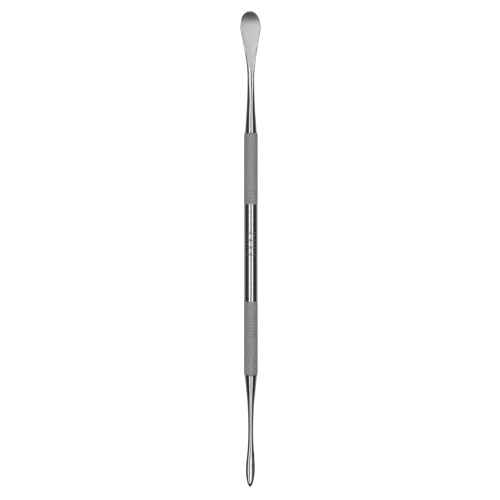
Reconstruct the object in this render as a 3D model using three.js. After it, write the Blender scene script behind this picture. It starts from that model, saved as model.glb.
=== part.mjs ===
// Double-ended cuticle pusher in stainless steel, in millimetres.
//
// A bar handle has two knurled grips with a smooth band between them, and a socket drilled in
// each end. A spoon-shaped pusher is pressed into one socket and a lance-shaped cleaner into the
// other. The tool lies on its side along Y, spoon towards +Y and its working face up (+Z), on the
// plane Z = 0. The origin is on that plane, midway between the two tips.

import * as THREE from "three";

// ---- driving dimensions ---------------------------------------------------------------------

const OVERALL_LENGTH = 160;
const SPOON_REACH = 41; // spoon tip to the handle's end face
const LANCE_REACH = 37.7; // lance tip to the handle's other end face

const BAND_RADIUS = 2.26; // smooth middle of the bar
const CREST_RADIUS = 2.35; // over the raised crests of the knurling
const SPOON_GRIP_LENGTH = 24.0;
const LANCE_GRIP_LENGTH = 24.7;
const END_RADIUS = 2.24; // the bar's end faces, inside their chamfers
const END_CHAMFER = 1; // length of those chamfers
const BAND_STEP = 0.12; // length of the run-out from crests to band

const SOCKET_RADIUS = 1.2;
const SOCKET_DEPTH = 10;
const DRILL_POINT = 0.7; // depth of the socket's conical bottom
const FIT_GAP = 0.03; // between tang and socket, and under the shoulders
const TANG_LENGTH = 9.5;
const TANG_CHAMFER = 0.4;

const ROOT_FLARE = 0.02; // how far a shank flares where it meets the handle
const ROOT_FLARE_LENGTH = 0.8;

const SIDES = 24; // flats round every section
const RING_STEP = 1.1; // spacing of the rings along a shank or blade

// Half width of the spoon's round tip: a slightly square ellipse from the tip to the widest place.
const SPOON_HALF_WIDTH = 3.47;
const SPOON_ROUND_LENGTH = 5.6;
const SPOON_ROUND_POWER = 2.2;
const RIM_RADIUS = 0.3; // rounding of a blade's thickness at its very tip

// Shapes of the two ends. Each row is one station:
// from the tip | half width | half thickness | section power | edge rise | lift | lean | turn
// A section power of 1 is an ellipse, under 1 a flat strip with round edges, over 1 a lens.
// Edge rise is how far the edges stand above the middle and lift raises the whole section above
// the bar's axis. Lean moves it sideways and turn, in degrees, tips it about the bar's axis with
// its right edge down, as the hand finishing of the blades does.
const SPOON_STATIONS = [
  [0.0, 3.1, 0.24, 0.6, 0.1, 2.08, -0.12, -6],
  [3.0, 3.15, 0.3, 0.5, 0.16, 0.645, -0.1, -6],
  [5.6, 3.47, 0.36, 0.45, 0.18, 0.062, -0.08, -6],
  [8.4, 3.03, 0.4, 0.42, 0.14, -0.05, -0.08, -6],
  [12.5, 2.28, 0.43, 0.45, 0.08, -0.05, 0, -6],
  [16.5, 1.62, 0.48, 0.7, 0.02, -0.02, 0.03, -5],
  [20.5, 1.22, 0.52, 0.95, 0, 0, 0.01, -2],
  [24.6, 1.175, 0.62, 0.9, 0, 0, 0, -2],
  [28.0, 1.24, 0.95, 0.95, 0, 0, 0, -1],
  [31.0, 1.36, 1.25, 1, 0, 0, 0, 0],
  [34.0, 1.52, 1.4, 1, 0, 0, 0, 0],
  [37.0, 1.72, 1.6, 1, 0, 0, 0, 0],
  [41.0, 2, 1.95, 1, 0, 0, 0, 0],
];
const LANCE_STATIONS = [
  [0.0, 0.12, 0.08, 1.2, 0, 0, -0.3, 3],
  [0.8, 0.7, 0.4, 1.8, 0, 0, -0.27, 4],
  [2.1, 1.13, 0.48, 2.1, 0, 0, -0.24, 5],
  [4.8, 1.49, 0.55, 2.1, 0, 0, -0.18, 8],
  [7.5, 1.47, 0.57, 2.1, 0, 0, -0.14, 8],
  [10.2, 1.28, 0.64, 1.6, 0, 0, -0.09, 6],
  [13.6, 1.03, 0.76, 1.1, 0, 0, -0.06, 3],
  [19.0, 0.87, 0.87, 1, 0, 0, -0.06, 0],
  [25.0, 1, 1, 1, 0, 0, -0.04, 0],
  [29.1, 1.24, 1.24, 1, 0, 0, -0.02, 0],
  [33.1, 1.64, 1.64, 1, 0, 0, 0, 0],
  [35.6, 1.88, 1.88, 1, 0, 0, 0, 0],
  [37.7, 2.09, 2.09, 1, 0, 0, 0, 0],
];

// ---- sizes that follow ----------------------------------------------------------------------

const SPOON_TIP_Y = OVERALL_LENGTH / 2;
const LANCE_TIP_Y = -OVERALL_LENGTH / 2;
const SPOON_FACE_Y = SPOON_TIP_Y - SPOON_REACH;
const LANCE_FACE_Y = LANCE_TIP_Y + LANCE_REACH;
const CORNER = 1 / Math.cos(Math.PI / SIDES); // corner radius of flats that touch a unit circle
const TANG_RADIUS = SOCKET_RADIUS - FIT_GAP;

// ---- materials ------------------------------------------------------------------------------

const steel = (color, roughness) => new THREE.MeshStandardMaterial({ color, roughness, metalness: 1 });
const knurledSteel = steel(0x9a9a9a, 0.35);
const satinSteel = steel(0xc8c8c8, 0.4);
const polishedSteel = steel(0xbfbfbf, 0.12);

// ---- shape helpers --------------------------------------------------------------------------

// All the columns of a station table at a distance from the tip, along smooth cubic pieces whose
// slope at each station is that of the line between its two neighbours.
function stationAt(stations, distance) {
  const last = stations.length - 1;
  let k = 0;
  while (k < last - 1 && distance > stations[k + 1][0]) k++;
  const [before, start, end, after] = [k - 1, k, k + 1, k + 2].map(
    (i) => stations[Math.min(Math.max(i, 0), last)],
  );
  const span = end[0] - start[0];
  const t = THREE.MathUtils.clamp((distance - start[0]) / span, 0, 1);
  return start.map((value, column) => {
    const slopeIn = ((end[column] - before[column]) / (end[0] - before[0])) * span;
    const slopeOut = ((after[column] - value) / (after[0] - start[0])) * span;
    const rise = end[column] - value;
    return (
      value +
      t * slopeIn +
      t * t * (3 * rise - 2 * slopeIn - slopeOut) +
      t * t * t * (slopeIn + slopeOut - 2 * rise)
    );
  });
}

// Ring of points across Y, on the handle's axis unless lifted, leaned or rolled about it.
function ring({ y, halfWidth, halfHeight, power = 1, rise = 0, lift = 0, lean = 0, turn = 0 }) {
  const points = [];
  const roll = THREE.MathUtils.degToRad(turn);
  for (let i = 0; i < SIDES; i++) {
    const angle = ((i + 0.5) / SIDES) * 2 * Math.PI;
    const across = Math.sin(angle) * CORNER;
    const up = Math.cos(angle) * CORNER;
    const x = halfWidth * across;
    const z = halfHeight * Math.sign(up) * Math.abs(up) ** power + rise * across * across + lift;
    points.push(
      new THREE.Vector3(
        x * Math.cos(roll) + z * Math.sin(roll) + lean,
        y,
        CREST_RADIUS + z * Math.cos(roll) - x * Math.sin(roll),
      ),
    );
  }
  return points;
}

// Middle of the ring of a station row, where a blade ends in a point.
function tipPoint(y, [, , , , , lift, lean, turn]) {
  return ring({ y, halfWidth: 0, halfHeight: 0, lift, lean, turn })[0];
}

const roundRing = (y, radius) => ring({ y, halfWidth: radius, halfHeight: radius });

// Closed skin over rings in order of rising Y, with a single point at each end.
function skin(firstPoint, rings, lastPoint) {
  const positions = [firstPoint, ...rings.flat(), lastPoint].flatMap((p) => p.toArray());
  const lastIndex = positions.length / 3 - 1;
  const at = (ringIndex, side) => 1 + ringIndex * SIDES + (side % SIDES);
  const faces = [];
  for (let side = 0; side < SIDES; side++) {
    faces.push(0, at(0, side + 1), at(0, side));
    for (let r = 0; r + 1 < rings.length; r++) {
      faces.push(at(r, side), at(r, side + 1), at(r + 1, side));
      faces.push(at(r, side + 1), at(r + 1, side + 1), at(r + 1, side));
    }
    faces.push(at(rings.length - 1, side), at(rings.length - 1, side + 1), lastIndex);
  }
  const geometry = new THREE.BufferGeometry();
  geometry.setAttribute("position", new THREE.Float32BufferAttribute(positions, 3));
  geometry.setIndex(faces);
  geometry.computeVertexNormals();
  return geometry;
}

// Distances from the tip at which rings are made: close together round the tip and at the root.
function ringDistances(reach, roundLength) {
  const distances = [];
  const tipRings = 9;
  for (let i = 1; i < tipRings; i++) {
    distances.push(roundLength * (1 - Math.cos(((i / tipRings) * Math.PI) / 2)));
  }
  const straight = reach - ROOT_FLARE_LENGTH - roundLength;
  const steps = Math.round(straight / RING_STEP);
  for (let i = 0; i <= steps; i++) distances.push(roundLength + (straight * i) / steps);
  const flareRings = 3;
  for (let i = 1; i <= flareRings; i++) {
    distances.push(reach - ROOT_FLARE_LENGTH * (1 - i / flareRings));
  }
  return distances;
}

// Extra radius of a shank as it flares into its shoulder.
function flare(distance, reach) {
  const along = Math.max(0, (distance - reach) / ROOT_FLARE_LENGTH + 1);
  return ROOT_FLARE * along ** 3;
}

// How much of its thickness a blade has this close to its tip, where its edge is rounded.
function tipRounding(distance) {
  const inward = 1 - Math.min(distance / RIM_RADIUS, 1);
  return Math.sqrt(1 - inward * inward);
}

// Rings of a pressed-in tang, from the shoulder on the handle's end face to the tang's end.
function tangRings(faceY, inward) {
  const shoulderY = faceY - inward * FIT_GAP;
  const endY = shoulderY + inward * TANG_LENGTH;
  return [
    roundRing(shoulderY, TANG_RADIUS),
    roundRing(endY - inward * TANG_CHAMFER, TANG_RADIUS),
    roundRing(endY, TANG_RADIUS - TANG_CHAMFER),
  ];
}

const onAxis = (y) => new THREE.Vector3(0, y, CREST_RADIUS);

// ---- the pieces -----------------------------------------------------------------------------

function handle() {
  const drilled = (faceY, inward) => [
    [0, faceY + inward * (SOCKET_DEPTH + DRILL_POINT)],
    [SOCKET_RADIUS, faceY + inward * SOCKET_DEPTH],
    [SOCKET_RADIUS, faceY],
    [END_RADIUS, faceY],
    [CREST_RADIUS, faceY + inward * END_CHAMFER],
  ];
  const gripEnd = (faceY, inward, length) => [
    [CREST_RADIUS, faceY + inward * length],
    [BAND_RADIUS, faceY + inward * (length + BAND_STEP)],
  ];
  const profile = [
    ...drilled(LANCE_FACE_Y, 1),
    ...gripEnd(LANCE_FACE_Y, 1, LANCE_GRIP_LENGTH),
    ...gripEnd(SPOON_FACE_Y, -1, SPOON_GRIP_LENGTH).reverse(),
    ...drilled(SPOON_FACE_Y, -1).reverse(),
  ].map(([radius, y]) => new THREE.Vector2(radius * CORNER, y));
  const bar = new THREE.LatheGeometry(profile, SIDES, Math.PI / SIDES);
  bar.translate(0, 0, CREST_RADIUS);
  return bar;
}

function spoonEnd() {
  const rings = ringDistances(SPOON_REACH - FIT_GAP, SPOON_ROUND_LENGTH).map((distance) => {
    const station = stationAt(SPOON_STATIONS, distance);
    const [, width, thickness, power, rise, lift, lean, turn] = station;
    const inward = 1 - Math.min(distance / SPOON_ROUND_LENGTH, 1);
    const round = (1 - inward ** SPOON_ROUND_POWER) ** (1 / SPOON_ROUND_POWER);
    const halfWidth = inward > 0 ? SPOON_HALF_WIDTH * round : width;
    const extra = flare(distance, SPOON_REACH - FIT_GAP);
    return ring({
      y: SPOON_TIP_Y - distance,
      halfWidth: halfWidth + extra,
      halfHeight: thickness * tipRounding(distance) + extra,
      power,
      rise: rise * (halfWidth / width) ** 2,
      lift,
      lean,
      turn,
    });
  });
  const tang = tangRings(SPOON_FACE_Y, -1);
  const tip = tipPoint(SPOON_TIP_Y, SPOON_STATIONS[0]);
  const tangEnd = onAxis(SPOON_FACE_Y + FIT_GAP - TANG_LENGTH);
  return skin(tangEnd, [...tang.reverse(), ...rings.reverse()], tip);
}

function lanceEnd() {
  const rings = ringDistances(LANCE_REACH - FIT_GAP, LANCE_STATIONS[2][0]).map((distance) => {
    const [, width, thickness, power, , lift, lean, turn] = stationAt(LANCE_STATIONS, distance);
    const extra = flare(distance, LANCE_REACH - FIT_GAP);
    return ring({
      y: LANCE_TIP_Y + distance,
      halfWidth: width + extra,
      halfHeight: thickness + extra,
      power,
      lift,
      lean,
      turn,
    });
  });
  const tang = tangRings(LANCE_FACE_Y, 1);
  const tip = tipPoint(LANCE_TIP_Y, LANCE_STATIONS[0]);
  const tangEnd = onAxis(LANCE_FACE_Y - FIT_GAP + TANG_LENGTH);
  return skin(tip, [...rings, ...tang], tangEnd);
}

// ---- the assembly ---------------------------------------------------------------------------

function named(name, geometry, material) {
  const mesh = new THREE.Mesh(geometry, material);
  mesh.name = name;
  return mesh;
}

const pusher = new THREE.Group();
pusher.add(
  named("handle_bar", handle(), knurledSteel),
  named("spoon_pusher_end", spoonEnd(), satinSteel),
  named("lance_end", lanceEnd(), polishedSteel),
);

export default pusher;
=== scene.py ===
"""Looks for a double-ended cuticle pusher: a knurled bar with a spoon end and a lance end.

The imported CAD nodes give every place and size. Each one is replaced by a fine mesh of the same
piece: the bar with its rolled diamond knurl, and the two hand-finished steel ends.
"""

import math

import bpy
import numpy as np
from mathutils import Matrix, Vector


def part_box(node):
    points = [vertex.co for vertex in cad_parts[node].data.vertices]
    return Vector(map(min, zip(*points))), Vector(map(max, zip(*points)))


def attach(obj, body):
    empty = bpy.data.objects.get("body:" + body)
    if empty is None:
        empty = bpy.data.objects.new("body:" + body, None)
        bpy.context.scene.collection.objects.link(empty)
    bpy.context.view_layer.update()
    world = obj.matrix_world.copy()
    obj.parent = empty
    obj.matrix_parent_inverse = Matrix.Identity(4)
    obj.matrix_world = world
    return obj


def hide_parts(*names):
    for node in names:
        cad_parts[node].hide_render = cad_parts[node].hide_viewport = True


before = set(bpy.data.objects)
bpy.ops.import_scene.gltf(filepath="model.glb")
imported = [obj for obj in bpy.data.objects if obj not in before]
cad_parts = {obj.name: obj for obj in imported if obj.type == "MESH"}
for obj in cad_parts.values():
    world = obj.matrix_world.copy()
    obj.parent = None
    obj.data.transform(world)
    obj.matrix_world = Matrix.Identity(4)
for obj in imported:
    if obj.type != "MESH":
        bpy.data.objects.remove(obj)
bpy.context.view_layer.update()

MM = 0.001

# ---- places and sizes taken from the frame -----------------------------------------------------

BAR_LOW, BAR_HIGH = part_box("handle_bar")
SPOON_TIP_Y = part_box("spoon_pusher_end")[1].y / MM
LANCE_TIP_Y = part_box("lance_end")[0].y / MM
SPOON_FACE_Y, LANCE_FACE_Y = BAR_HIGH.y / MM, BAR_LOW.y / MM
CREST_RADIUS = (BAR_HIGH.x - BAR_LOW.x) / 2 / MM
AXIS_Z = (BAR_HIGH.z + BAR_LOW.z) / 2 / MM
LENGTH = SPOON_TIP_Y - LANCE_TIP_Y
SPOON_REACH = SPOON_TIP_Y - SPOON_FACE_Y
LANCE_REACH = LANCE_FACE_Y - LANCE_TIP_Y

# ---- the bar, in millimetres -------------------------------------------------------------------

BAND_RADIUS = 2.26
END_RADIUS = 2.24
END_CHAMFER = 1
CHAMFER_POWER = 1.6  # over 1 rounds the chamfer into the crests
SOCKET_RADIUS = 1.2
SOCKET_EDGE = 0.08  # chamfer of the socket's mouth
SOCKET_DEPTH = 10
DRILL_POINT = 0.7
FIT_GAP = 0.03
TANG_LENGTH = 9.5
TANG_CHAMFER = 0.4

KNURL_STARTS = 18  # grooves of each hand round the bar
KNURL_STEPS = 8  # mesh steps across one diamond
KNURL_DEPTH = 0.12
KNURL_FLAT = 0.4  # share of a diamond's width left flat on its crest
GRIPS = {  # length of each grip and of one diamond in it
    "spoon": (24.0, 1.21),
    "lance": (24.7, 0.99),
}
RUN_OUT = 0.2  # where the knurl fades into the band
BAND_ROWS = 220  # close enough to carry the edges of the etched lozenges

MARK_FROM, MARK_TO = -2.3, 6.1  # an etched ornament of small lozenges on the band
MARK_ACROSS, MARK_ALONG = 0.75, 1.2  # spacing of the lozenges round the bar and along it
MARK_HALF_ANGLE = 66  # degrees either side of the top
MARK_EDGE = (0.28, 0.42)  # where a lozenge starts and ends to fade, in spacings from its middle

# ---- the two ends, in millimetres --------------------------------------------------------------

SPOON_HALF_WIDTH = 3.47
SPOON_ROUND_LENGTH = 5.6
SPOON_ROUND_POWER = 2.2
RIM_RADIUS = 0.3

# Stations of both ends, in millimetres and degrees:
# from the tip | half width | half thickness | section power | edge rise | lift | lean | turn
SPOON_STATIONS = [
    (0.0, 3.1, 0.24, 0.6, 0.1, 2.08, -0.12, -6),
    (3.0, 3.15, 0.3, 0.5, 0.16, 0.645, -0.1, -6),
    (5.6, 3.47, 0.36, 0.45, 0.18, 0.062, -0.08, -6),
    (8.4, 3.03, 0.4, 0.42, 0.14, -0.05, -0.08, -6),
    (12.5, 2.28, 0.43, 0.45, 0.08, -0.05, 0, -6),
    (16.5, 1.62, 0.48, 0.7, 0.02, -0.02, 0.03, -5),
    (20.5, 1.22, 0.52, 0.95, 0, 0, 0.01, -2),
    (24.6, 1.175, 0.62, 0.9, 0, 0, 0, -2),
    (28.0, 1.24, 0.95, 0.95, 0, 0, 0, -1),
    (31.0, 1.36, 1.25, 1, 0, 0, 0, 0),
    (34.0, 1.52, 1.4, 1, 0, 0, 0, 0),
    (37.0, 1.72, 1.6, 1, 0, 0, 0, 0),
    (41.0, 2, 1.95, 1, 0, 0, 0, 0),
]
LANCE_STATIONS = [
    (0.0, 0.12, 0.08, 1.2, 0, 0, -0.3, 3),
    (0.8, 0.7, 0.4, 1.8, 0, 0, -0.27, 4),
    (2.1, 1.13, 0.48, 2.1, 0, 0, -0.24, 5),
    (4.8, 1.49, 0.55, 2.1, 0, 0, -0.18, 8),
    (7.5, 1.47, 0.57, 2.1, 0, 0, -0.14, 8),
    (10.2, 1.28, 0.64, 1.6, 0, 0, -0.09, 6),
    (13.6, 1.03, 0.76, 1.1, 0, 0, -0.06, 3),
    (19.0, 0.87, 0.87, 1, 0, 0, -0.06, 0),
    (25.0, 1, 1, 1, 0, 0, -0.04, 0),
    (29.1, 1.24, 1.24, 1, 0, 0, -0.02, 0),
    (33.1, 1.64, 1.64, 1, 0, 0, 0, 0),
    (35.6, 1.88, 1.88, 1, 0, 0, 0, 0),
    (37.7, 2.09, 2.09, 1, 0, 0, 0, 0),
]
ROOT_FLARE = 0.02
ROOT_FLARE_LENGTH = 0.8

# Each fade is a pair of distances from the tip: nothing at the first, the full effect at the second.
DISH_DEPTH = 0.08  # hollow of the spoon's face
DISH_FADE_IN, DISH_FADE_OUT = (0.6, 1.6), (14, 9)
GROUND_CUT = 0.2  # share of the half thickness ground off the spoon's face where it narrows
GROUND_FADE_IN, GROUND_FADE_OUT = (8, 12), (20, 16.5)
SPOON_CREST = 0.07  # how far right the neck's highest line is, in radians round the section
SPOON_CREST_FADE_IN, SPOON_CREST_FADE_OUT = (15, 20), (34, 29)
LEAF_CREST = -0.27  # the same for the leaf of the lance
LEAF_TURN = -8  # degrees added to the leaf's turn in the table, to suit its highest line
LEAF_FADE_OUT = (14, 9)

END_SIDES = 120
EDGE_CROWDING = 0.75  # how much closer the points are at a blade's edges
TIP_RINGS = 40
RING_STEP = 0.15

# ---- finishes ----------------------------------------------------------------------------------

POLISHED_GREY = (0.61, 0.67)  # least and greatest
POLISHED_ROUGH = (0.07, 0.14)
BAND_GREY = (0.62, 0.68)
SATIN_GREY = (0.72, 0.76)
SATIN_ROUGH = (0.36, 0.46)
NECK_SATIN = 0.5  # how far the spoon's neck is from polished to satin
NECK_FADE_IN, NECK_FADE_OUT = (14, 17), (23.8, 22.4)  # as the fades of the spoon's shape
KNURL_GREY_AND_PAINTED_SHADE = (1.0, 0.1)  # on the crests, and painted shade darkening the grooves towards their bottom
KNURL_ROUGH = (0.35, 0.6)
KNURL_METAL = 0.32
ETCHED_GREY = 0.6
ETCHED_ROUGH = 0.5

# ---- studio, in metres and in degrees from straight up -----------------------------------------

CARD_HEIGHT = 0.5
CARD_Y = (-0.21, 0.34)
CARDS = {  # the two edges and the radiance of each
    "softbox_left": (-31.5, -10, 1.7),
    "softbox_right": (15, 35, 1.62),
    "softbox_gap": (-10, 15, 0.14),
    "glow_left": (-60, -31.5, 0.1),
    "glow_right": (35, 60, 0.1),
}
FILL_X, FILL_Y, FILL_Z = 0.5, 0.6, (0.15, 0.45)
FILL_RADIANCE = 1.1
TABLE_HALF_X, TABLE_HALF_Y, TABLE_DROP = 0.2, 0.6, 0.05
TABLE_RADIANCE = 0.3
ROOM_REACH, ROOM_TOP = 4.0, 6.0
FLOOR_GREY, FLOOR_ROUGH, FLOOR_GLOW = 0.85, 0.9, 0.85
WORLD_RADIANCE = 0.03
LENS, SENSOR_WIDTH = 200, 36  # in millimetres
VIEW_HEIGHT = LENGTH * 1.0515 * MM
VIEW_CENTRE = (-0.29 * MM, -0.26 * MM)

# ---- mesh helpers ------------------------------------------------------------------------------


def smoothstep(value, low, high):
    """0 up to low and 1 from high on, or falling from 1 to 0 where low is above high."""
    t = np.clip((value - low) / (high - low), 0, 1)
    return t * t * (3 - 2 * t)


def fade(distance, fade_in, fade_out):
    return smoothstep(distance, *fade_in) * smoothstep(distance, *fade_out)


def stations_at(stations, distance):
    """The columns of a station table at each distance, along smooth cubic pieces whose slope at
    each station is that of the line between its two neighbours."""
    rows = np.array(stations, float)
    places, values = rows[:, 0], rows[:, 1:]
    before = np.maximum(np.arange(len(rows)) - 1, 0)
    after = np.minimum(np.arange(len(rows)) + 1, len(rows) - 1)
    slopes = (values[after] - values[before]) / (places[after] - places[before])[:, None]
    k = np.clip(np.searchsorted(places, distance, side="right") - 1, 0, len(rows) - 2)
    span = (places[k + 1] - places[k])[:, None]
    t = np.clip((distance - places[k])[:, None] / span, 0, 1)
    rise = values[k + 1] - values[k]
    s_in, s_out = slopes[k] * span, slopes[k + 1] * span
    result = values[k] + t * s_in + t**2 * (3 * rise - 2 * s_in - s_out)
    return (result + t**3 * (s_in + s_out - 2 * rise)).T


def skin(name, rings, first, last, split=None):
    """A closed smooth mesh over rings of points in order of rising Y, ended by two points.
    split(ring, side) says which diagonal cuts a quad; without it quads stay whole."""
    count, sides = rings.shape[:2]
    points = np.concatenate([[first], rings.reshape(-1, 3), [last]]) * MM
    ring, side = np.meshgrid(np.arange(count - 1), np.arange(sides), indexing="ij")
    a = 1 + ring * sides + side
    b = 1 + ring * sides + (side + 1) % sides
    quads = np.stack([a, b, b + sides, a + sides], -1).reshape(-1, 4)
    around = np.arange(sides)
    ahead = (around + 1) % sides
    ends = 1 + (count - 1) * sides
    caps = [np.stack([0 * around, 1 + ahead, 1 + around], -1)]
    caps.append(np.stack([ends + around, ends + ahead, 0 * around + len(points) - 1], -1))
    faces = np.concatenate(caps).tolist()
    if split is None:
        faces += quads.tolist()
    else:
        rising = split(ring, side).reshape(-1)
        q = quads[rising]
        faces += q[:, [0, 1, 2]].tolist() + q[:, [0, 2, 3]].tolist()
        q = quads[~rising]
        faces += q[:, [0, 1, 3]].tolist() + q[:, [1, 2, 3]].tolist()
    mesh = bpy.data.meshes.new(name)
    mesh.from_pydata(points.tolist(), [], faces)
    mesh.polygons.foreach_set("use_smooth", [True] * len(mesh.polygons))
    piece = bpy.data.objects.new(name, mesh)
    bpy.context.scene.collection.objects.link(piece)
    return piece


def add_attribute(piece, name, values):
    """A number on each vertex, which a material reads by name."""
    layer = piece.data.attributes.new(name, "FLOAT", "POINT")
    layer.data.foreach_set("value", np.asarray(values, np.float32).ravel())


def place(piece, node, material):
    piece.data.materials.append(material)
    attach(piece, "root")
    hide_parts(node)


# ---- the knurled bar ---------------------------------------------------------------------------


def knurl_rows(face_y, inward, length, diamond):
    """Rows of one grip from the bar's end face to the band: their Y, radius and groove phase."""
    steps = round(length / diamond * KNURL_STEPS)
    along = np.arange(steps + 1)
    from_face = along / steps * length
    chamfer = np.clip(1 - from_face / END_CHAMFER, 0, 1)
    radius = CREST_RADIUS - (CREST_RADIUS - END_RADIUS) * chamfer**CHAMFER_POWER
    radius = radius + (BAND_RADIUS - CREST_RADIUS) * smoothstep(length - from_face, RUN_OUT, 0)
    depth = KNURL_DEPTH * smoothstep(length - from_face, 0, RUN_OUT)
    return face_y + inward * from_face, radius, depth, along


def groove(steps_along, steps_round):
    """How deep in a groove a mesh point is, from 0 on a crest to 1 at the bottom."""
    deepest = 0
    for hand in (1, -1):
        phase = ((steps_round + hand * steps_along) / KNURL_STEPS) % 1
        to_line = np.minimum(phase, 1 - phase)
        deepest = np.maximum(deepest, 1 - to_line / (0.5 - KNURL_FLAT / 2))
    return np.maximum(deepest, 0)


def etched(y, angle):
    """1 inside the lozenges etched on the band, 0 on the polish round them."""
    offset = (angle + math.pi) % (2 * math.pi) - math.pi
    u, v = offset * BAND_RADIUS / MARK_ACROSS, y / MARK_ALONG
    u = u + 0.5 * (np.floor(v) % 2)
    from_middle = np.abs(u % 1 - 0.5) + np.abs(v % 1 - 0.5)
    inside = (y > MARK_FROM) & (y < MARK_TO) & (np.abs(offset) < math.radians(MARK_HALF_ANGLE))
    return (1 - smoothstep(from_middle, *MARK_EDGE)) * inside


def make_bar(material):
    sides = KNURL_STARTS * KNURL_STEPS
    around = np.arange(sides)
    rows = []  # Y, radius, groove depth, knurl steps along

    def plain(y, radius):
        rows.append((y, radius, 0, 0))

    def socket(face_y, inward):
        return [
            (face_y + inward * SOCKET_DEPTH, SOCKET_RADIUS),
            (face_y + inward * SOCKET_EDGE, SOCKET_RADIUS),
            (face_y, SOCKET_RADIUS + SOCKET_EDGE),
            (face_y, END_RADIUS - SOCKET_EDGE),
        ]

    for y, radius in socket(LANCE_FACE_Y, 1):
        plain(y, radius)
    rows += zip(*knurl_rows(LANCE_FACE_Y, 1, *GRIPS["lance"]))
    band_from = LANCE_FACE_Y + GRIPS["lance"][0]
    band_to = SPOON_FACE_Y - GRIPS["spoon"][0]
    for y in np.linspace(band_from, band_to, BAND_ROWS)[1:-1]:
        plain(y, BAND_RADIUS)
    second_knurl = len(rows)
    rows += list(zip(*knurl_rows(SPOON_FACE_Y, -1, *GRIPS["spoon"])))[::-1]
    for y, radius in reversed(socket(SPOON_FACE_Y, -1)):
        plain(y, radius)

    y, radius, depth, along = (np.array(column, float)[:, None] for column in zip(*rows))
    cut = groove(along, around) * (depth > 0)
    r = radius - depth * cut
    angle = 2 * math.pi * around / sides
    rings = np.stack([r * np.sin(angle), y + 0 * r, AXIS_Z + r * np.cos(angle)], -1)

    def split(ring, side):
        # a groove of one hand runs along this diagonal of a quad
        step = np.where(ring >= second_knurl, -1, 1) * along[ring, 0]
        return (side - step) % KNURL_STEPS == 0

    first = (0, LANCE_FACE_Y + SOCKET_DEPTH + DRILL_POINT, AXIS_Z)
    last = (0, SPOON_FACE_Y - SOCKET_DEPTH - DRILL_POINT, AXIS_Z)
    bar = skin("handle_bar_steel", rings, first, last, split)
    # the groove depth also sets the painted shade in the knurl's base colour
    add_attribute(bar, "groove", np.concatenate([[0], (cut * (depth / KNURL_DEPTH)).ravel(), [0]]))
    add_attribute(bar, "grip", np.concatenate([[0], (0 * cut + (depth > 0)).ravel(), [0]]))
    add_attribute(bar, "etched", np.concatenate([[0], etched(y, angle).ravel(), [0]]))
    place(bar, "handle_bar", material)
    return bar


# ---- the two ends ------------------------------------------------------------------------------


def section_rings(
    y, width, thickness, power=1, rise=0, lift=0, lean=0, turn=0, hollow=0, ground=1, crest=0
):
    """Rings of points across Y, one for each value of the arguments. ground is the share of the
    half thickness that is left under a flat ground face, hollow the depth of its dish. crest
    moves the highest line of the upper side towards the right edge."""
    even = 2 * math.pi * (np.arange(END_SIDES) + 0.5) / END_SIDES
    angle = even + EDGE_CROWDING * np.sin(2 * even) / 2
    up = np.cos(angle)
    column = lambda value: np.broadcast_to(np.asarray(value, float), y.shape)[:, None]
    across = np.sin(angle + column(crest) * np.maximum(up, 0))
    x = column(width) * across
    level = np.sign(up) * np.abs(up) ** column(power)
    z = column(thickness) * np.minimum(level, column(ground))
    z = z + column(rise) * across**2 + column(lift)
    dish = (up > 0) * (1 - smoothstep(np.abs(across), 0.72, 0.93))
    z = z - column(hollow) * dish
    c, s = np.cos(np.radians(column(turn))), np.sin(np.radians(column(turn)))
    points = [x * c + z * s + column(lean), column(y) + 0 * x, AXIS_Z + z * c - x * s]
    return np.stack(points, -1), across, level


def ring_distances(reach, round_length):
    """Distances from the tip at which rings are made: close round the tip, even after it."""
    near = round_length * (1 - np.cos(np.arange(1, TIP_RINGS) / TIP_RINGS * math.pi / 2))
    steps = round((reach - round_length) / RING_STEP)
    return np.concatenate([near, np.linspace(round_length, reach, steps + 1)])


def tip_point(y, station):
    """Middle of the ring of a station row, where a blade ends in a point."""
    lift, lean, turn = station[5], station[6], math.radians(station[7])
    return (lift * math.sin(turn) + lean, y, AXIS_Z + lift * math.cos(turn))


def flare(distance, reach):
    return ROOT_FLARE * np.clip((distance - reach) / ROOT_FLARE_LENGTH + 1, 0, 1) ** 3


def tang_rings(face_y, inward):
    """The hidden tang, from its shoulder on the bar's end face."""
    shoulder = face_y - inward * FIT_GAP
    end = shoulder + inward * TANG_LENGTH
    radius = SOCKET_RADIUS - FIT_GAP
    y = np.array([shoulder, end - inward * TANG_CHAMFER, end])
    radii = np.array([radius, radius, radius - TANG_CHAMFER])
    return section_rings(y, radii, radii)[0]


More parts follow.
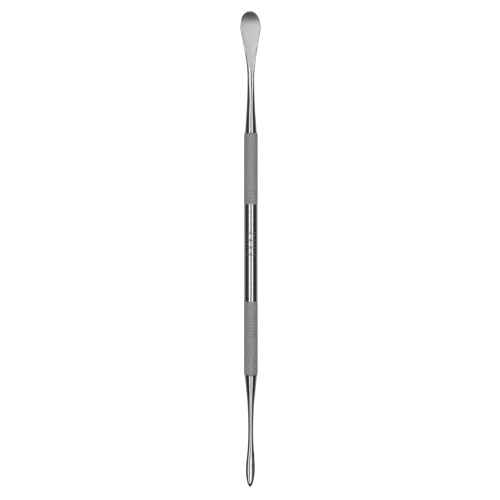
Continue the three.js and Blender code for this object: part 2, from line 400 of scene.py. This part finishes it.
def make_spoon_end(material):
    reach = SPOON_REACH - FIT_GAP
    distance = ring_distances(reach, SPOON_ROUND_LENGTH)
    width, thickness, power, rise, lift, lean, turn = stations_at(SPOON_STATIONS, distance)
    inward = np.clip(1 - distance / SPOON_ROUND_LENGTH, 0, 1)
    round_width = (1 - inward**SPOON_ROUND_POWER) ** (1 / SPOON_ROUND_POWER) * SPOON_HALF_WIDTH
    half_width = np.where(inward > 0, round_width, width)
    rim = 1 - np.clip(distance / RIM_RADIUS, 0, 1)
    thickness = thickness * np.sqrt(1 - rim**2)
    extra = flare(distance, reach)
    ground = 1 - GROUND_CUT * fade(distance, GROUND_FADE_IN, GROUND_FADE_OUT)
    rings, across, level = section_rings(
        SPOON_TIP_Y - distance,
        half_width + extra,
        thickness + extra,
        power,
        rise * (half_width / width) ** 2,
        lift,
        lean,
        turn,
        hollow=DISH_DEPTH * fade(distance, DISH_FADE_IN, DISH_FADE_OUT),
        ground=ground,
        crest=SPOON_CREST * fade(distance, SPOON_CREST_FADE_IN, SPOON_CREST_FADE_OUT),
    )
    tang = tang_rings(SPOON_FACE_Y, -1)
    rings = np.concatenate([tang[::-1], rings[::-1]])
    tang_end = (0, SPOON_FACE_Y + FIT_GAP - TANG_LENGTH, AXIS_Z)
    tip = tip_point(SPOON_TIP_Y, SPOON_STATIONS[0])
    end = skin("spoon_end_steel", rings, tang_end, tip)
    wide = (level > 0) * (1 - smoothstep(np.abs(across), 0.88, 0.97))
    narrow = level > ground[:, None] - 0.03
    still_wide = distance[:, None] < GROUND_FADE_IN[1]
    face = np.where(still_wide, wide, narrow * (distance[:, None] < GROUND_FADE_OUT[0]))
    brushed = NECK_SATIN * fade(distance, NECK_FADE_IN, NECK_FADE_OUT)
    satin = np.maximum(smoothstep(distance, 0, 0.3)[:, None] * face, brushed[:, None])
    satin = np.concatenate([np.zeros((3, END_SIDES)), satin[::-1]])
    add_attribute(end, "satin", np.concatenate([[0], satin.ravel(), [0]]))
    place(end, "spoon_pusher_end", material)
    return end


def make_lance_end(material):
    reach = LANCE_REACH - FIT_GAP
    distance = ring_distances(reach, LANCE_STATIONS[2][0])
    width, thickness, power, _, lift, lean, turn = stations_at(LANCE_STATIONS, distance)
    extra = flare(distance, reach)
    leaf = smoothstep(distance, *LEAF_FADE_OUT)
    rings, _, _ = section_rings(
        LANCE_TIP_Y + distance,
        width + extra,
        thickness + extra,
        power,
        0,
        lift,
        lean,
        turn + LEAF_TURN * leaf,
        crest=LEAF_CREST * leaf,
    )
    rings = np.concatenate([rings, tang_rings(LANCE_FACE_Y, 1)])
    tip = tip_point(LANCE_TIP_Y, LANCE_STATIONS[0])
    tang_end = (0, LANCE_FACE_Y - FIT_GAP + TANG_LENGTH, AXIS_Z)
    end = skin("lance_end_steel", rings, tip, tang_end)
    place(end, "lance_end", material)
    return end


# ---- materials ---------------------------------------------------------------------------------


class Steel:
    """A node material being built on one metallic Principled shader."""

    def __init__(self, name):
        self.material = bpy.data.materials.new(name)
        self.material.use_nodes = True
        self.nodes = self.material.node_tree.nodes
        self.links = self.material.node_tree.links
        self.shader = self.nodes["Principled BSDF"]
        self.shader.inputs["Metallic"].default_value = 1.0
        self.place = self.nodes.new("ShaderNodeTexCoord").outputs["Object"]

    def noise(self, scale, detail=3.0, stretch=(1, 1, 1)):
        """Noise with this many features to a metre, stretched along X, Y and Z."""
        mapping = self.nodes.new("ShaderNodeMapping")
        mapping.inputs["Scale"].default_value = [1 / s for s in stretch]
        self.links.new(self.place, mapping.inputs["Vector"])
        texture = self.nodes.new("ShaderNodeTexNoise")
        texture.inputs["Scale"].default_value = scale
        texture.inputs["Detail"].default_value = detail
        self.links.new(mapping.outputs["Vector"], texture.inputs["Vector"])
        return texture.outputs["Fac"]

    def attribute(self, name):
        node = self.nodes.new("ShaderNodeAttribute")
        node.attribute_name = name
        return node.outputs["Fac"]

    def clouds(self, scale, levels):
        """Soft even clouds between two levels."""
        return self.remap(self.noise(scale), 0.3, 0.7, *levels)

    def polish(self):
        """The roughness of polished steel, drawn out along the tool."""
        return self.remap(self.noise(2500, detail=5, stretch=(1, 6, 1)), 0.3, 0.7, *POLISHED_ROUGH)

    def polish_lines(self):
        """The faint relief that polishing along the tool leaves."""
        self.bump(self.noise(9000, detail=2, stretch=(1, 20, 1)), distance=0.4e-6)

    def remap(self, value, low, high, to_low, to_high):
        node = self.nodes.new("ShaderNodeMapRange")
        for socket, number in zip(node.inputs[1:5], (low, high, to_low, to_high)):
            socket.default_value = number
        self.links.new(value, node.inputs["Value"])
        return node.outputs["Result"]

    def mix(self, factor, a, b):
        """a to b by factor; each end is a number or a socket."""
        node = self.nodes.new("ShaderNodeMix")
        self.links.new(factor, node.inputs[0])
        for socket, value in ((node.inputs[2], a), (node.inputs[3], b)):
            self.set(socket, value)
        return node.outputs[0]

    def set(self, socket, value):
        if isinstance(value, bpy.types.NodeSocket):
            self.links.new(value, socket)
        else:
            socket.default_value = value

    def grey(self, level):
        """Base colour of a grey level from 0 to 1."""
        ramp = self.nodes.new("ShaderNodeValToRGB")
        self.links.new(level, ramp.inputs["Fac"])
        self.links.new(ramp.outputs["Color"], self.shader.inputs["Base Color"])

    def roughness(self, value):
        self.set(self.shader.inputs["Roughness"], value)

    def bump(self, height, distance, strength=1.0):
        """Surface relief, distance metres high."""
        node = self.nodes.new("ShaderNodeBump")
        node.inputs["Distance"].default_value = distance
        self.set(node.inputs["Strength"], strength)
        self.links.new(height, node.inputs["Height"])
        self.links.new(node.outputs["Normal"], self.shader.inputs["Normal"])


def polished_steel():
    steel = Steel("polished_steel")
    steel.grey(steel.clouds(900, POLISHED_GREY))
    steel.roughness(steel.polish())
    steel.polish_lines()
    return steel.material


def satin_steel():
    steel = Steel("satin_steel")
    satin = steel.attribute("satin")
    cloud = steel.noise(1200)
    bright = steel.remap(cloud, 0.3, 0.7, *POLISHED_GREY)
    steel.grey(steel.mix(satin, bright, steel.remap(cloud, 0.3, 0.7, *SATIN_GREY)))
    polished = steel.polish()
    brushing = steel.noise(5000, detail=4, stretch=(1, 8, 1))
    ground = steel.remap(brushing, 0.3, 0.7, *SATIN_ROUGH)
    steel.roughness(steel.mix(satin, polished, ground))
    scratches = steel.noise(14000, detail=3, stretch=(1, 12, 1))
    steel.bump(scratches, distance=3e-6, strength=steel.mix(satin, 0.1, 1.0))
    return steel.material


def bar_steel():
    steel = Steel("bar_steel")
    groove_depth, grip = steel.attribute("groove"), steel.attribute("grip")
    etching = steel.attribute("etched")
    bright = steel.mix(etching, steel.clouds(900, BAND_GREY), ETCHED_GREY)
    # the knurl's base colour runs from full grey on the crests to painted shade at the bottom of the
    # grooves
    steel.grey(steel.mix(grip, bright, steel.remap(groove_depth, 0, 1, *KNURL_GREY_AND_PAINTED_SHADE)))
    polished = steel.mix(etching, steel.polish(), ETCHED_ROUGH)
    rolled = steel.remap(groove_depth, 0, 1, *KNURL_ROUGH)
    steel.roughness(steel.mix(grip, polished, rolled))
    steel.set(steel.shader.inputs["Metallic"], steel.mix(grip, 1.0, KNURL_METAL))
    steel.polish_lines()
    return steel.material


# ---- studio ------------------------------------------------------------------------------------


def emitter(name, radiance):
    material = bpy.data.materials.new(name)
    material.use_nodes = True
    nodes, links = material.node_tree.nodes, material.node_tree.links
    nodes.clear()
    shader = nodes.new("ShaderNodeEmission")
    shader.inputs["Strength"].default_value = radiance
    output = nodes.new("ShaderNodeOutputMaterial")
    links.new(shader.outputs["Emission"], output.inputs["Surface"])
    return material


def card(name, corners, material, seen_by):
    """A flat stage piece that only some kinds of ray see."""
    mesh = bpy.data.meshes.new(name)
    mesh.from_pydata(corners, [], [range(len(corners))])
    mesh.materials.append(material)
    piece = bpy.data.objects.new(name, mesh)
    bpy.context.scene.collection.objects.link(piece)
    for ray in ("camera", "diffuse", "glossy", "transmission", "shadow"):
        setattr(piece, f"visible_{ray}", ray in seen_by)
    return piece


def ceiling_card(name, from_degrees, to_degrees, radiance):
    """A horizontal softbox over the tool, between two angles from straight up."""
    x0, x1 = (CARD_HEIGHT * math.tan(math.radians(a)) for a in (from_degrees, to_degrees))
    y0, y1 = CARD_Y
    corners = [(x, y, CARD_HEIGHT) for x, y in ((x0, y0), (x0, y1), (x1, y1), (x1, y0))]
    card(name, corners, emitter(name, radiance), ("diffuse", "glossy"))


def level_square(half_x, half_y, z):
    return [(-half_x, -half_y, z), (half_x, -half_y, z), (half_x, half_y, z), (-half_x, half_y, z)]


def backdrop():
    """A white surround that only the camera sees, so that every view has a plain background."""
    corners = level_square(ROOM_REACH, ROOM_REACH, 0)
    white = emitter("backdrop_white", 1.0)
    for k in range(4):
        (x0, y0, _), (x1, y1, _) = corners[k], corners[(k + 1) % 4]
        low, high = -ROOM_TOP, ROOM_TOP
        wall = [(x0, y0, low), (x1, y1, low), (x1, y1, high), (x0, y0, high)]
        card(f"backdrop_{k + 1}", wall, white, ("camera",))


def floor_material():
    material = bpy.data.materials.new("floor_white")
    material.use_nodes = True
    shader = material.node_tree.nodes["Principled BSDF"]
    shader.inputs["Base Color"].default_value = (FLOOR_GREY, FLOOR_GREY, FLOOR_GREY, 1)
    shader.inputs["Roughness"].default_value = FLOOR_ROUGH
    shader.inputs["Emission Color"].default_value = (1, 1, 1, 1)
    shader.inputs["Emission Strength"].default_value = FLOOR_GLOW
    return material


def make_studio():
    for name, (from_degrees, to_degrees, radiance) in CARDS.items():
        ceiling_card(name, from_degrees, to_degrees, radiance)
    low, high = FILL_Z
    for side, name in ((-1, "side_fill_left"), (1, "side_fill_right")):
        x, y = side * FILL_X, FILL_Y
        wall = [(x, -y, low), (x, y, low), (x, y, high), (x, -y, high)]
        card(name, wall, emitter(name, FILL_RADIANCE), ("diffuse",))
    card("floor", level_square(ROOM_REACH, ROOM_REACH, 0), floor_material(), ("camera", "shadow"))
    table = level_square(TABLE_HALF_X, TABLE_HALF_Y, -TABLE_DROP)
    card("floor_mirror_side", table, emitter("floor_dim", TABLE_RADIANCE), ("glossy", "diffuse"))
    backdrop()
    world = bpy.data.worlds.new("dim_studio")
    world.use_nodes = True
    background = world.node_tree.nodes["Background"]
    background.inputs["Color"].default_value = (1, 1, 1, 1)
    background.inputs["Strength"].default_value = WORLD_RADIANCE
    bpy.context.scene.world = world


def make_camera():
    camera = bpy.data.cameras.new("camera")
    camera.lens = LENS
    camera.sensor_width = SENSOR_WIDTH
    holder = bpy.data.objects.new("camera", camera)
    bpy.context.scene.collection.objects.link(holder)
    distance = VIEW_HEIGHT * LENS / SENSOR_WIDTH
    holder.location = (*VIEW_CENTRE, AXIS_Z * MM + distance)
    camera.clip_start, camera.clip_end = 0.05, 20
    bpy.context.scene.camera = holder


def set_view():
    settings = bpy.context.scene.view_settings
    settings.view_transform = "Standard"
    settings.look = "None"
    settings.exposure = 0
    settings.gamma = 1


# ---- the scene ---------------------------------------------------------------------------------

make_camera()
set_view()
make_studio()
make_bar(bar_steel())
make_spoon_end(satin_steel())
make_lance_end(polished_steel())
